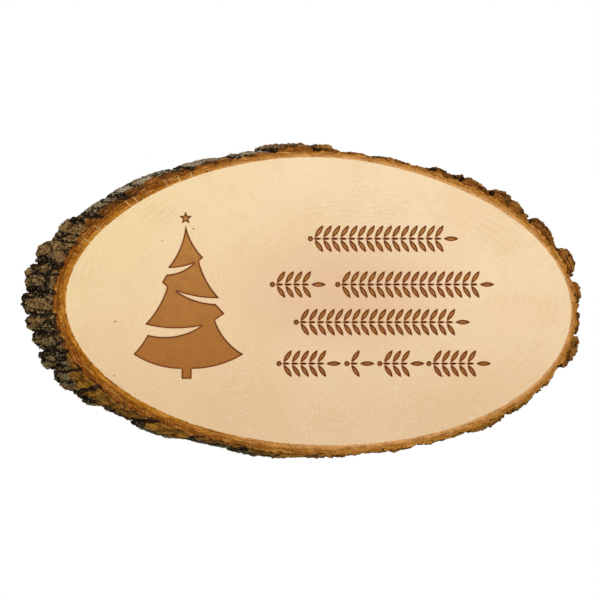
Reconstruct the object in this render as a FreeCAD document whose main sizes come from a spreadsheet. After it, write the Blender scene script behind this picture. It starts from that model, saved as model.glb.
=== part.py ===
"""Wall plaque cut as an oval slice from a slanting trunk, with its bark left on.

The slice is sawn at a slant through a small trunk, so its outline is an oval and its rim
leans: the outline on the back lies further left than the one on the front.
Pieces: the sanded wood slice with its engraved fir tree and rows of leaf sprigs, the ring
of inner bark (bast) round it, the scales of outer bark grown on that ring, and on the back
a let-in keyhole hanger plate with its two countersunk screws.

Frame: +Z up as it hangs, the face looks along -Y, and the back lies in the plane Y = 0.
The origin is where the axis of the wall screw crosses that plane once the plaque hangs on it.
Units are millimetres. Every size is a cell of the sheet "Sizes".
"""
import FreeCAD, Part
import math
import os

import Sketcher

SIZES = {
    # the slice
    "face_length": 271.0,
    "face_height": 155.0,
    "slab_thickness": 12.0,
    "trunk_shift": 13.4,  # how far the back's outline lies left of the front's
    "hang_above_centre": 40.0,
    "hang_left_of_centre": 0.8,  # over the centre of mass, which the thick left bark draws left
    # inner bark, as its cut width on the face
    "bast_left": 7.6,
    "bast_right": 3.0,
    "bast_top": 2.4,
    "bast_bottom": 4.6,
    # outer bark, as its cut width on the face
    "scale_left": 3.4,
    "scale_right": 3.2,
    "scale_top": 3.8,
    "scale_bottom": 3.0,
    "scale_setback": 3.0,  # the most that a scale's broken front edge lies behind the face
    "scale_root": 1.0,  # how far a scale's blank reaches into the ring before it is cut back
    # engraving
    "engraving_depth": 0.6,
    "tree_height": 81.7,
    "star_radius": 3.4,
    "leaf_length": 7.6,
    "leaf_width": 2.3,
    "leaf_pitch": 4.6,
    "stem_width": 1.1,
    "stem_break": 0.5,
    "stem_gap": 0.8,
    "bud_radius": 1.3,
    # keyhole hanger
    "plate_width": 16.0,
    "plate_height": 48.0,
    "plate_thickness": 1.5,
    "plate_clearance": 0.2,
    "keyhole_entry": 9.0,
    "keyhole_slot": 4.5,
    "keyhole_drop": 8.5,
    "cavity_depth": 7.0,
    "cavity_margin": 1.0,
    "screw_spacing": 37.0,
    "screw_shank": 3.0,
    "screw_head": 5.6,
    "screw_length": 8.5,
    "screw_tip": 2.0,
    "driver_slot": 0.9,
    "driver_span": 3.4,
    "driver_depth": 0.9,
}

# Stations run anticlockwise from the right-hand end, evenly spaced in the oval's own angle.
# WOOD_SWELL is how full the wood's outline is there, as a share of a plain ellipse.
WOOD_SWELL = (1.0, 0.955, 0.943, 1.0, 0.98, 0.975, 1.0, 0.985, 0.98, 0.995, 1.03, 1.035)
# BAST_SWELL is how wide the inner bark is there, as a share of the sheet's widths.
BAST_SWELL = (1.0, 1.35, 1.4, 1.0, 1.0, 0.95, 1.0, 1.1, 1.0, 1.0, 0.95, 1.15)
STATION_STEP = 360.0 / len(WOOD_SWELL)
# A cubic spline runs inside its control points, and this share brings it back out.
POLE_GAIN = 6.0 / (4.0 + 2.0 * math.cos(math.radians(STATION_STEP)))

# Outer bark: name, first and last angle in degrees, thickness share, front setback share.
SCALES = (
    ("right_1", -3.0, 7.0, 1.0, 0.1),
    ("right_2", 9.0, 18.3, 1.5, 0.1),
    ("right_3", 19.2, 31.0, 1.3, 0.2),
    ("upper_right_1", 32.8, 44.6, 1.15, 0.0),
    ("upper_right_2", 46.0, 54.0, 1.05, 0.1),
    ("upper_right_3", 54.7, 61.0, 0.95, 0.0),
    ("upper_right_4", 61.6, 66.0, 0.4, 0.1),
    ("top_1", 66.8, 75.0, 0.4, 0.0),
    ("top_2", 76.2, 83.2, 0.45, 0.1),
    ("top_3", 84.2, 89.2, 1.0, 0.1),
    ("top_4", 89.9, 98.6, 1.15, 0.1),
    ("top_5", 99.4, 107.0, 0.6, 0.2),
    ("upper_left_1", 107.8, 118.4, 0.35, 0.3),
    ("upper_left_2", 119.2, 137.0, 0.55, 0.5),
    ("upper_left_3", 137.8, 146.6, 0.3, 0.6),
    ("upper_left_4", 147.4, 158.0, 0.75, 0.7),
    ("left_1", 158.8, 166.4, 0.9, 0.8),
    ("left_2", 167.2, 176.4, 1.4, 0.5),
    ("left_3", 177.2, 184.2, 1.3, 0.7),
    ("left_4", 185.0, 190.6, 1.15, 0.6),
    ("left_5", 191.2, 197.4, 1.1, 0.8),
    ("left_6", 198.0, 204.4, 1.15, 0.7),
    ("lower_left_1", 205.0, 212.2, 1.35, 0.8),
    ("lower_left_2", 213.0, 220.0, 1.2, 0.9),
    ("lower_left_3", 220.8, 230.4, 0.7, 1.0),
    ("lower_left_4", 231.2, 242.0, 0.6, 0.8),
    ("lower_left_5", 243.0, 254.0, 0.5, 0.6),
    ("bottom_1", 254.8, 269.2, 0.8, 0.4),
    ("bottom_2", 270.0, 280.2, 0.85, 0.2),
    ("bottom_3", 281.0, 292.0, 0.6, 0.3),
    ("bottom_4", 293.0, 304.0, 0.6, 0.1),
    ("lower_right_1", 305.2, 314.6, 1.2, 0.2),
    ("lower_right_2", 315.8, 324.0, 0.8, 0.2),
    ("lower_right_3", 325.0, 332.4, 0.75, 0.1),
    ("lower_right_4", 336.6, 347.0, 1.35, 0.2),
    ("lower_right_5", 348.0, 355.8, 0.55, 0.1),
)
# A scale's outer edge: (share of the way along it, share of its thickness).
SCALE_EDGE = ((0.04, 0.7), (0.3, 1.0), (0.68, 0.93), (0.96, 0.66))

# The tree as corners, anticlockwise from the apex, in shares of its height from the middle of
# its foot. The third value is how far the edge to the next corner bows, as a share of that
# edge's length: positive bows outwards and 0 is straight.
TREE = (
    (0.000, 1.000, -0.075),
    (-0.115, 0.725, 0.05),
    (0.058, 0.759, -0.09),
    (-0.124, 0.680, 0.0),
    (-0.154, 0.631, 0.0),
    (-0.121, 0.600, -0.06),
    (-0.264, 0.356, 0.06),
    (0.108, 0.349, -0.11),
    (-0.249, 0.286, -0.04),
    (-0.341, 0.160, 0.075),
    (-0.026, 0.065, 0.0),
    (-0.026, 0.000, 0.0),
    (0.038, 0.000, 0.0),
    (0.038, 0.065, 0.07),
    (0.376, 0.160, -0.095),
    (0.191, 0.384, 0.0),
    (0.253, 0.426, 0.0),
    (0.195, 0.488, -0.075),
    (-0.064, 0.576, 0.05),
    (0.218, 0.528, -0.065),
    (0.086, 0.770, 0.0),
    (0.113, 0.793, -0.07),
)
TREE_PLACE = (-0.2605, -0.2700)  # its foot, as shares of the face's length and height
STAR_PLACE = (-0.2605, 0.2840)
STAR_POINTS = 5
STAR_WAIST = 0.42

# Rows of sprigs: height as a share of the face's height, then for each sprig its start as a
# share of the face's length and how many pairs of leaves it has.
SPRIG_ROWS = (
    (0.213, ((-0.008, 15),)),
    (0.055, ((-0.083, 4), (0.046, 16))),
    (-0.075, ((-0.036, 18),)),
    (-0.218, ((-0.070, 5), (0.064, 1), (0.129, 3), (0.226, 5))),
)
LEAF_SLANT = 56.0

SCREW_NAMES = ("upper", "lower")

doc = FreeCAD.newDocument("bark_plaque")


# --- the sheet, and linear formulas in its cells -------------------------------------------

def make_sheet():
    sheet = doc.addObject("Spreadsheet::Sheet", "Sizes")
    for row, (alias, size) in enumerate(SIZES.items(), start=1):
        sheet.set(f"A{row}", alias)
        sheet.set(f"B{row}", str(size))
        sheet.setAlias(f"B{row}", alias)
    doc.recompute()
    return sheet


sheet = make_sheet()


def cell(alias, share=1.0):
    """A formula: a share of one cell."""
    return {alias: share}


def total(*formulas):
    """The sum of formulas, each a dict of cell alias to share."""
    summed = {}
    for formula in formulas:
        for alias, share in formula.items():
            summed[alias] = summed.get(alias, 0.0) + share
    return summed


def scaled(formula, factor):
    return {alias: share * factor for alias, share in formula.items()}


def text(formula):
    """The formula as a FreeCAD expression."""
    terms = [f"Sizes.{alias} * ({share:.9f})" for alias, share in formula.items() if share]
    return " + ".join(terms) or "0"


def value(formula):
    return sum(float(sheet.get(alias)) * share for alias, share in formula.items())


# --- sketches and features bound to the sheet ----------------------------------------------

def new_body(label):
    body = doc.addObject("PartDesign::Body", label)
    body.Label = label
    return body


def origin_plane(body, role):
    return next(f for f in body.Origin.OriginFeatures if f.Role == role)


def wall_sketch(body, name, depth=None):
    """A sketch in the plane Y = 0, or that far in front of it. Its X and Y are the part's X and Z."""
    sketch = body.newObject("Sketcher::SketchObject", name)
    sketch.AttachmentSupport = [(origin_plane(body, "XZ_Plane"), "")]
    sketch.MapMode = "FlatFace"
    if depth:
        sketch.setExpression("AttachmentOffset.Base.z", text(depth))
    doc.recompute()
    return sketch


def pin(sketch, kind, geometry, position, formula):
    """Ties one coordinate of a sketch's point to a formula."""
    made = Sketcher.Constraint(kind, -1, 1, geometry, position, value(formula))
    index = sketch.addConstraint(made)
    sketch.setExpression(f"Constraints[{index}]", text(formula))


def pin_point(sketch, geometry, position, x, z):
    """Ties one point of a sketch to two formulas."""
    pin(sketch, "DistanceX", geometry, position, x)
    pin(sketch, "DistanceY", geometry, position, z)


def point(x, z):
    return FreeCAD.Vector(value(x), value(z), 0)


def draw_spline(sketch, poles):
    """A closed cubic spline whose control points are tied to formulas."""
    curve = Part.BSplineCurve()
    knots = list(range(len(poles) + 1))
    curve.buildFromPolesMultsKnots(
        [point(x, z) for x, z in poles], [1] * len(knots), knots, True, 3
    )
    spline = sketch.addGeometry(curve, False)
    sketch.exposeInternalGeometry(spline)
    for number, (x, z) in enumerate(poles, start=1):
        pin_point(sketch, spline + number, 3, x, z)


def bowed_middle(start, end, bow):
    """The top of an arc from start to end that bows by that share of its chord, to its right."""
    along = end - start
    side = FreeCAD.Vector(along.y, -along.x, 0)
    return (start + end) / 2 + side * bow


def tie_radius(sketch, arc, expression):
    radius = sketch.Geometry[arc].Radius
    index = sketch.addConstraint(Sketcher.Constraint("Radius", arc, radius))
    sketch.setExpression(f"Constraints[{index}]", expression)


def draw_outline(sketch, corners):
    """A closed outline of (x, z, bow) corners. It gives back its arcs, whose radii are still free."""
    points = [point(x, z) for x, z, _ in corners]
    edges, ends, arcs = [], [], []
    for (_, _, bow), start, end in zip(corners, points, points[1:] + points[:1]):
        if bow:
            edge = Part.Arc(start, bowed_middle(start, end, bow), end)
        else:
            edge = Part.LineSegment(start, end)
        index = sketch.addGeometry(edge, False)
        forwards = sketch.getPoint(index, 1).distanceToPoint(start) < 1e-6
        edges.append(index)
        ends.append((1, 2) if forwards else (2, 1))
        if bow:
            arcs.append(index)
    for place, (x, z, _) in enumerate(corners):
        following = (place + 1) % len(corners)
        joint = (edges[place], ends[place][1], edges[following], ends[following][0])
        sketch.addConstraint(Sketcher.Constraint("Coincident", *joint))
        pin_point(sketch, edges[place], ends[place][0], x, z)
    return arcs


def draw_outline_sized(sketch, corners, size):
    """A closed outline, every arc's radius of which is a share of the one cell that sizes it."""
    for arc in draw_outline(sketch, corners):
        share = sketch.Geometry[arc].Radius / float(sheet.get(size))
        tie_radius(sketch, arc, text(cell(size, share)))


def draw_circle(sketch, x, z, diameter):
    """A circle whose centre and diameter are tied to formulas."""
    circle = Part.Circle(point(x, z), FreeCAD.Vector(0, 0, 1), value(diameter) / 2)
    index = sketch.addGeometry(circle, False)
    pin_point(sketch, index, 3, x, z)
    made = sketch.addConstraint(Sketcher.Constraint("Diameter", index, value(diameter)))
    sketch.setExpression(f"Constraints[{made}]", text(diameter))


def draw_upright_slot(sketch, low, high, width):
    """An upright slot on X = 0 with round ends, whose end centres are at heights low and high."""
    half, bottom, top = value(width) / 2, value(low), value(high)
    upper = Part.Arc(
        FreeCAD.Vector(half, top, 0), FreeCAD.Vector(0, top + half, 0), FreeCAD.Vector(-half, top, 0)
    )
    lower = Part.Arc(
        FreeCAD.Vector(-half, bottom, 0),
        FreeCAD.Vector(0, bottom - half, 0),
        FreeCAD.Vector(half, bottom, 0),
    )
    left = Part.LineSegment(FreeCAD.Vector(-half, top, 0), FreeCAD.Vector(-half, bottom, 0))
    right = Part.LineSegment(FreeCAD.Vector(half, bottom, 0), FreeCAD.Vector(half, top, 0))
    first = [sketch.addGeometry(edge, False) for edge in (upper, left, lower, right)]
    arc_top, side_left, arc_bottom, side_right = first
    for joint in (
        (arc_top, 2, side_left, 1),
        (side_left, 2, arc_bottom, 1),
        (arc_bottom, 2, side_right, 1),
        (side_right, 2, arc_top, 1),
    ):
        sketch.addConstraint(Sketcher.Constraint("Coincident", *joint))
    for arc, height in ((arc_top, high), (arc_bottom, low)):
        pin(sketch, "DistanceY", arc, 3, height)
    for side, start, end, reach in (
        (side_left, high, low, scaled(width, -0.5)),
        (side_right, low, high, scaled(width, 0.5)),
    ):
        pin_point(sketch, side, 1, reach, start)
        pin_point(sketch, side, 2, reach, end)


def slanted_pad(body, sketch, length=cell("slab_thickness")):
    """Pads a sketch forwards from the back plane, along the trunk."""
    pad = body.newObject("PartDesign::Pad", sketch.Name + "_pad")
    pad.Profile = sketch
    pad.UseCustomVector = True
    pad.Direction = FreeCAD.Vector(1, -1, 0)
    pad.AlongSketchNormal = True
    pad.setExpression("Direction.x", "Sizes.trunk_shift / Sizes.slab_thickness")
    pad.setExpression("Length", text(length))
    sketch.Visibility = False
    doc.recompute()
    return pad


def pocket(body, sketch, depth, into_back=False):
    """Cuts a sketch straight into the body: backwards from the face, or forwards from the back."""
    before = body.Shape.Volume
    cut = body.newObject("PartDesign::Pocket", sketch.Name + "_pocket")
    cut.Profile = sketch
    cut.Reversed = into_back
    cut.Refine = False
    cut.setExpression("Length", text(depth))
    doc.recompute()
    if not body.Shape.Volume < before:
        raise RuntimeError(f"{sketch.Name} cut nothing")
    return cut


# --- the slice's outlines -----------------------------------------------------------------

def ellipse_point(angle, swell=1.0):
    """A point of the face's oval, from its centre: (x formula, z formula)."""
    turn = math.radians(angle)
    x = cell("face_length", 0.5 * swell * math.cos(turn))
    z = cell("face_height", 0.5 * swell * math.sin(turn))
    return x, z


def outward(angle):
    """The outward direction at a point of the oval, as (x, z) of length 1."""
    turn = math.radians(angle)
    x = math.cos(turn) / float(sheet.get("face_length"))
    z = math.sin(turn) / float(sheet.get("face_height"))
    length = math.hypot(x, z)
    return x / length, z / length


def compass_width(kind, angle):
    """A width that changes smoothly round the oval, from the four cells named kind_left and so on."""
    turn = math.radians(angle)
    across, upright = math.cos(turn), math.sin(turn)
    return total(
        cell(kind + ("_right" if across > 0 else "_left"), across**2),
        cell(kind + ("_top" if upright > 0 else "_bottom"), upright**2),
    )


def back_centre():
    """The centre of the slice's outline on the back plane."""
    across = total(cell("hang_left_of_centre"), cell("trunk_shift", -0.5))
    return across, cell("hang_above_centre", -1.0)


def front_centre():
    across = total(cell("hang_left_of_centre"), cell("trunk_shift", 0.5))
    return across, cell("hang_above_centre", -1.0)


def moved(place, angle, width):
    """A point moved outwards by a width formula."""
    across, upright = outward(angle)
    return total(place[0], scaled(width, across)), total(place[1], scaled(width, upright))


def shifted(place, centre):
    return total(place[0], centre[0]), total(place[1], centre[1])


def wood_poles():
    """Control points of the wood's outline, round its centre."""
    stations = enumerate(WOOD_SWELL)
    return [ellipse_point(n * STATION_STEP, swell * POLE_GAIN) for n, swell in stations]


def bast_poles():
    """Control points of the inner bark's outer outline, round the same centre."""
    made = []
    for n, (place, swell) in enumerate(zip(wood_poles(), BAST_SWELL)):
        width = scaled(compass_width("bast", n * STATION_STEP), swell)
        made.append(moved(place, n * STATION_STEP, width))
    return made


def on_spline(poles, angle):
    """The point of a closed cubic spline of even stations at an angle, as formulas."""
    station, part = divmod((angle % 360.0) / STATION_STEP, 1.0)
    weights = (
        (1 - part) ** 3 / 6,
        (3 * part**3 - 6 * part**2 + 4) / 6,
        (-3 * part**3 + 3 * part**2 + 3 * part + 1) / 6,
        part**3 / 6,
    )
    x, z = {}, {}
    for offset, weight in zip((-1, 0, 1, 2), weights):
        pole = poles[(int(station) + offset) % len(poles)]
        x = total(x, scaled(pole[0], weight))
        z = total(z, scaled(pole[1], weight))
    return x, z


def draw_slice_outline(sketch, poles):
    draw_spline(sketch, [shifted(pole, back_centre()) for pole in poles])


# --- the wood slice -----------------------------------------------------------------------

def face_place(place):
    """A place given in shares of the face's length and height, as formulas on the front plane."""
    x, z = place
    return shifted((cell("face_length", x), cell("face_height", z)), front_centre())


def engrave(body, name, corners, size):
    """Sinks a closed outline of (x, z, bow) corners, sized by one cell, into the face."""
    sketch = wall_sketch(body, name, cell("slab_thickness"))
    draw_outline_sized(sketch, corners, size)
    pocket(body, sketch, cell("engraving_depth"))


def tree_outline():
    foot = face_place(TREE_PLACE)
    corners = []
    for x, z, bow in TREE:
        place = shifted((cell("tree_height", x), cell("tree_height", z)), foot)
        corners.append((*place, bow))
    return corners


def star_outline():
    centre = face_place(STAR_PLACE)
    corners = []
    for n in range(2 * STAR_POINTS):
        turn = math.radians(90 + n * 180 / STAR_POINTS)
        reach = STAR_WAIST if n % 2 else 1.0
        x = cell("star_radius", reach * math.cos(turn))
        z = cell("star_radius", reach * math.sin(turn))
        corners.append((*shifted((x, z), centre), 0.0))
    return corners


def draw_leaf(sketch, base, slant, length, width):
    """A pointed leaf from its base, turned up by slant degrees, with two bowed sides."""
    turn = math.radians(slant)
    tip = shifted((scaled(length, math.cos(turn)), scaled(length, math.sin(turn))), base)
    bow = value(width) / value(length) / 2
    sides = draw_outline(sketch, [(*base, bow), (*tip, bow)])
    radius = f"(({text(length)})^2 + ({text(width)})^2) / (4 * ({text(width)}))"
    for side in sides:
        tie_radius(sketch, side, radius)


def draw_sprig_station(sketch, start):
    """One station of a sprig: a piece of stem, a leaf above it and a leaf below it."""
    stem = total(cell("leaf_pitch"), cell("stem_break", -1.0))
    draw_leaf(sketch, start, 0.0, stem, cell("stem_width"))
    for side in (1, -1):
        base = shifted((cell("stem_gap"), cell("stem_gap", side)), start)
        draw_leaf(sketch, base, side * LEAF_SLANT, cell("leaf_length"), cell("leaf_width"))


def repeat_along_x(body, sketch, feature, count, pitch):
    """Repeats a cut along its sketch's own X."""
    before = body.Shape.Volume
    run = body.newObject("PartDesign::LinearPattern", sketch.Name + "_run")
    run.Originals = [feature]
    run.Refine = False
    run.Direction = (sketch, ["H_Axis"])
    run.Occurrences = count
    run.setExpression("Length", text(scaled(pitch, count - 1)))
    body.Tip = run
    doc.recompute()
    if not body.Shape.Volume < before:
        raise RuntimeError(f"{run.Name} repeats nothing")


def engrave_sprig(body, name, place, pairs):
    """A sprig: a bud, a run of leaf pairs repeated along X, and a leaf at its end."""
    start = face_place(place)
    station = wall_sketch(body, name, cell("slab_thickness"))
    draw_sprig_station(station, start)
    first = pocket(body, station, cell("engraving_depth"))
    if pairs > 1:
        repeat_along_x(body, station, first, pairs, cell("leaf_pitch"))
    ends = wall_sketch(body, name + "_ends", cell("slab_thickness"))
    tip_reach = total(cell("leaf_pitch", pairs), cell("stem_gap"))
    draw_leaf(ends, shifted((tip_reach, {}), start), 0.0, cell("leaf_length"), cell("leaf_width"))
    bud_reach = total(cell("bud_radius", -1.0), cell("stem_gap", -0.5))
    draw_circle(ends, *shifted((bud_reach, {}), start), cell("bud_radius", 2.0))
    pocket(body, ends, cell("engraving_depth"))


def make_wood_slice():
    body = new_body("wood_slice")
    outline = wall_sketch(body, "wood_outline")
    draw_slice_outline(outline, wood_poles())
    slanted_pad(body, outline)
    let_in_hanger(body)
    engrave(body, "tree", tree_outline(), "tree_height")
    engrave(body, "star", star_outline(), "star_radius")
    for row, (height, sprigs) in enumerate(SPRIG_ROWS, start=1):
        for number, (start, pairs) in enumerate(sprigs, start=1):
            engrave_sprig(body, f"sprig_{row}_{number}", (start, height), pairs)
    return body


def plate_ends(grown=None):
    """The heights of the hanger plate's two end centres, and its width grown by a formula."""
    middle = cell("keyhole_drop", -0.5)
    reach = total(cell("plate_height", 0.5), cell("plate_width", -0.5))
    width = total(cell("plate_width"), grown or {})
    return total(middle, scaled(reach, -1.0)), total(middle, reach), width


def screw_heights():
    middle = cell("keyhole_drop", -0.5)
    return [total(middle, cell("screw_spacing", side)) for side in (0.5, -0.5)]


def let_in_hanger(body):
    """The plate's recess, the cavity for the wall screw's head, and the pilot holes."""
    recess = wall_sketch(body, "plate_recess")
    draw_upright_slot(recess, *plate_ends(cell("plate_clearance", 2.0)))
    pocket(body, recess, cell("plate_thickness"), into_back=True)
    cavity = wall_sketch(body, "screw_head_cavity")
    width = total(cell("keyhole_entry"), cell("cavity_margin", 2.0))
    draw_upright_slot(cavity, cell("keyhole_drop", -1.0), cell("keyhole_drop", 0.0), width)
    pocket(body, cavity, cell("cavity_depth"), into_back=True)
    pilots = wall_sketch(body, "pilot_holes")
    for height in screw_heights():
        draw_circle(pilots, cell("plate_width", 0.0), height, cell("screw_shank"))
    pocket(body, pilots, cell("screw_length"), into_back=True)


# --- the bark -----------------------------------------------------------------------------

def make_inner_bark():
    """The ring of inner bark between the wood's outline and its own."""
    body = new_body("inner_bark")
    outline = wall_sketch(body, "bast_outlines")
    draw_slice_outline(outline, bast_poles())
    draw_slice_outline(outline, wood_poles())
    slanted_pad(body, outline)
    return body


def make_core():
    """The slice without its outer bark, filled: it cuts the scales' inner faces."""
    body = new_body("core")
    outline = wall_sketch(body, "core_outline")
    draw_slice_outline(outline, bast_poles())
    slanted_pad(body, outline)
    return body


def scale_corners(first, last, share):
    """A scale's plan: rooted inside the ring of inner bark, and stepped along its outer edge."""
    poles = bast_poles()
    corners = []
    for along, thickness in SCALE_EDGE:
        angle = first + (last - first) * along
        width = scaled(compass_width("scale", angle), share * thickness)
        corners.append(moved(on_spline(poles, angle), angle, width))
    for angle in (last, first):
        corners.append(moved(on_spline(poles, angle), angle, cell("scale_root", -1.0)))
    return [(*shifted(place, back_centre()), 0.0) for place in corners]


def make_scale(core, name, first, last, share, setback):
    """One scale of outer bark: a slanted prism, cut back to the ring's outer face."""
    blank = new_body(name + "_blank")
    plan = wall_sketch(blank, name + "_plan")
    draw_outline(plan, scale_corners(first, last, share))
    slanted_pad(blank, plan, total(cell("slab_thickness"), cell("scale_setback", -setback)))
    scale = doc.addObject("Part::Cut", "bark_scale_" + name)
    scale.Label = "bark_scale_" + name
    scale.Base = blank
    scale.Tool = core
    return scale


# --- the hanger ---------------------------------------------------------------------------

def countersink_depth():
    return total(cell("screw_head", 0.5), cell("screw_shank", -0.5))


def make_hanger_plate():
    """A let-in steel plate with a keyhole between two countersunk screw holes."""
    body = new_body("hanger_plate")
    outline = wall_sketch(body, "plate_outline")
    draw_upright_slot(outline, *plate_ends())
    pad = body.newObject("PartDesign::Pad", "plate_pad")
    pad.Profile = outline
    pad.setExpression("Length", text(cell("plate_thickness")))
    doc.recompute()
    entry = wall_sketch(body, "keyhole_entry")
    draw_circle(entry, cell("plate_width", 0.0), cell("keyhole_drop", -1.0), cell("keyhole_entry"))
    pocket(body, entry, cell("plate_thickness"), into_back=True)
    slot = wall_sketch(body, "keyhole_slot")
    no_height = cell("keyhole_drop", 0.0)
    draw_upright_slot(slot, cell("keyhole_drop", -1.0), no_height, cell("keyhole_slot"))
    pocket(body, slot, cell("plate_thickness"), into_back=True)
    for name, height in zip(SCREW_NAMES, screw_heights()):
        countersink(body, name, height)
    return body


def upright_section(body, name):
    """A sketch in the plane X = 0. Its X and Y are the part's Y and Z."""
    sketch = body.newObject("Sketcher::SketchObject", name)
    sketch.AttachmentSupport = [(origin_plane(body, "YZ_Plane"), "")]
    sketch.MapMode = "FlatFace"
    doc.recompute()
    return sketch


def axis_line(sketch, height, depth):
    """A construction line along Y at a height: what a section turns about."""
    start, end = point({}, height), point(depth, height)
    index = sketch.addGeometry(Part.LineSegment(start, end), True)
    pin_point(sketch, index, 1, {}, height)
    pin_point(sketch, index, 2, depth, height)
    return index


def screw_section(height):
    """A countersunk screw's half section: (y, z) corners, its head flush with the back plane."""
    head, shank = cell("screw_head", 0.5), cell("screw_shank", 0.5)
    sunk, length = scaled(countersink_depth(), -1.0), cell("screw_length", -1.0)
    shoulder = total(length, cell("screw_tip"))
    corners = (({}, {}), (length, {}), (shoulder, shank), (sunk, shank), ({}, head))
    return [(depth, total(height, radius), 0.0) for depth, radius in corners]


def countersink(body, name, height):
    """A screw hole through the plate, the same cone and shank as the screw's."""
    section = upright_section(body, name + "_hole_section")
    head, shank = cell("screw_head", 0.5), cell("screw_shank", 0.5)
    sunk, through = scaled(countersink_depth(), -1.0), cell("plate_thickness", -1.0)
    corners = (({}, {}), (through, {}), (through, shank), (sunk, shank), ({}, head))
    outline = [(depth, total(height, radius), 0.0) for depth, radius in corners]
    draw_outline(section, outline)
    axis_line(section, height, through)
    before = body.Shape.Volume
    groove = body.newObject("PartDesign::Groove", name + "_hole")
    groove.Profile = section
    groove.ReferenceAxis = (section, ["Axis0"])
    groove.Angle = 360.0
    doc.recompute()
    if not body.Shape.Volume < before:
        raise RuntimeError(f"{name} screw hole cut nothing")


def make_screw(name, height):
    """One countersunk wood screw with a cross recess."""
    body = new_body(name + "_screw")
    section = upright_section(body, name + "_screw_section")
    draw_outline(section, screw_section(height))
    axis_line(section, height, cell("screw_length", -1.0))
    turned = body.newObject("PartDesign::Revolution", name + "_screw_turned")
    turned.Profile = section
    turned.ReferenceAxis = (section, ["Axis0"])
    turned.Angle = 360.0
    doc.recompute()
    cross = wall_sketch(body, name + "_cross")
    arm, half = cell("driver_span", 0.5), cell("driver_slot", 0.5)
    corners = []
    for across, upright in ((1, 0), (0, 1), (-1, 0), (0, -1)):
        ahead = (scaled(arm, across), scaled(arm, upright))
        left, right = (scaled(half, -upright), scaled(half, across)), (
            scaled(half, upright),
            scaled(half, -across),
        )
        inner = (scaled(half, across - upright), scaled(half, upright + across))
        corners += [shifted(ahead, right), shifted(ahead, left), inner]
    centre = ({}, height)
    draw_outline(cross, [(*shifted(corner, centre), 0.0) for corner in corners])
    pocket(body, cross, cell("driver_depth"), into_back=True)
    return body


def make_screws():
    screws = [make_screw(name, z) for name, z in zip(SCREW_NAMES, screw_heights())]
    pair = doc.addObject("Part::Compound", "hanger_screws")
    pair.Label = "hanger_screws"
    pair.Links = screws
    return pair


# --- the whole ----------------------------------------------------------------------------

def check_document():
    """Stops if any object failed or any piece has no sound shape."""
    for item in doc.Objects:
        if "Invalid" in item.State or "Error" in item.State:
            raise RuntimeError(f"{item.Label} failed: {item.State}")


def write_pieces(pieces):
    os.makedirs("parts", exist_ok=True)
    for piece in pieces:
        if piece.Shape.isNull() or not piece.Shape.isValid() or not piece.Shape.Solids:
            raise RuntimeError(f"{piece.Label} has no sound shape")
    for piece in pieces:
        piece.Shape.exportStep(f"parts/{piece.Label}.step")
        print(f"{piece.Label}: {len(piece.Shape.Solids)} solid, {piece.Shape.Volume:.1f} mm3")


def main():
    pieces = [make_wood_slice(), make_inner_bark()]
    core = make_core()
    pieces += [make_scale(core, *scale) for scale in SCALES]
    pieces += [make_hanger_plate(), make_screws()]
    doc.recompute()
    check_document()
    write_pieces(pieces)


main()
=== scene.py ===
"""Looks of the bark-edged oval plaque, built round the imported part.

The wood slice and its hanger keep their CAD meshes and get materials. The ring of inner bark
and every scale of outer bark are rebuilt as rough meshes: each starts as a smooth sleeve laid
round the trunk, and the "Rough bark" tree then raises its lumps and opens its cracks.

Units are metres. "Angle" is the oval's own angle in radians, anticlockwise from the right-hand
end, and "depth" is the distance in front of the back plane.
"""
import math

import bpy
import numpy as np
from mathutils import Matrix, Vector


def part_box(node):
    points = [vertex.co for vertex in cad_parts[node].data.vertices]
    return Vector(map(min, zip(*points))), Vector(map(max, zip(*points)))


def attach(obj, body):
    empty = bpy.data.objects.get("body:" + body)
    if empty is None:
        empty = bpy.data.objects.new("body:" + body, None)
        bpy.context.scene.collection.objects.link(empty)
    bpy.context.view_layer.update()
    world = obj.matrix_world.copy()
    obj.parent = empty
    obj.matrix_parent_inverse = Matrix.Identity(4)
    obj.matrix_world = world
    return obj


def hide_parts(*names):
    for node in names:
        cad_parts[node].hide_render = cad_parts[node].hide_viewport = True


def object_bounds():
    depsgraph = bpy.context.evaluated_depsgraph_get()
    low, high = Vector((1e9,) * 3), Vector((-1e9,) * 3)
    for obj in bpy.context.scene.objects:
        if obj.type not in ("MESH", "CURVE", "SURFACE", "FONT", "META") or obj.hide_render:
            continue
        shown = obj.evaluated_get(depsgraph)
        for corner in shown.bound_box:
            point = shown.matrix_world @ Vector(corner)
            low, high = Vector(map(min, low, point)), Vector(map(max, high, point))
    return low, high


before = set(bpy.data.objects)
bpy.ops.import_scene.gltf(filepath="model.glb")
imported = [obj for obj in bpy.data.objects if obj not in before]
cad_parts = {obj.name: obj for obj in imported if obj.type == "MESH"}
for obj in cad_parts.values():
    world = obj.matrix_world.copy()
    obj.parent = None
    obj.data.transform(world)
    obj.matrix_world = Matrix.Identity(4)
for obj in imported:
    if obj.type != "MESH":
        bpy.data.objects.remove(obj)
cad_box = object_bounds()

MM = 0.001
FULL_TURN = 2 * math.pi

# Sizes that follow the part
WOOD_LOW, WOOD_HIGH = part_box("wood_slice")
THICKNESS = WOOD_HIGH.y - WOOD_LOW.y
ENGRAVING_DEPTH = 0.6 * MM
FACE_SLACK = 0.08 * MM  # anything deeper than this behind the face is engraved
FLOOR_SLACK = 0.05 * MM  # anything this much deeper than the engraving is not its floor
IN_PLANE = 0.001 * MM  # a vertex this near a plane lies in it
OUTLINE_REACH = 0.8  # the hanger's recess lies within this share of the way out to the bark
NARROWEST_RING = 1.0 * MM
SCALE_PREFIX = "bark_scale_"

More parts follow.
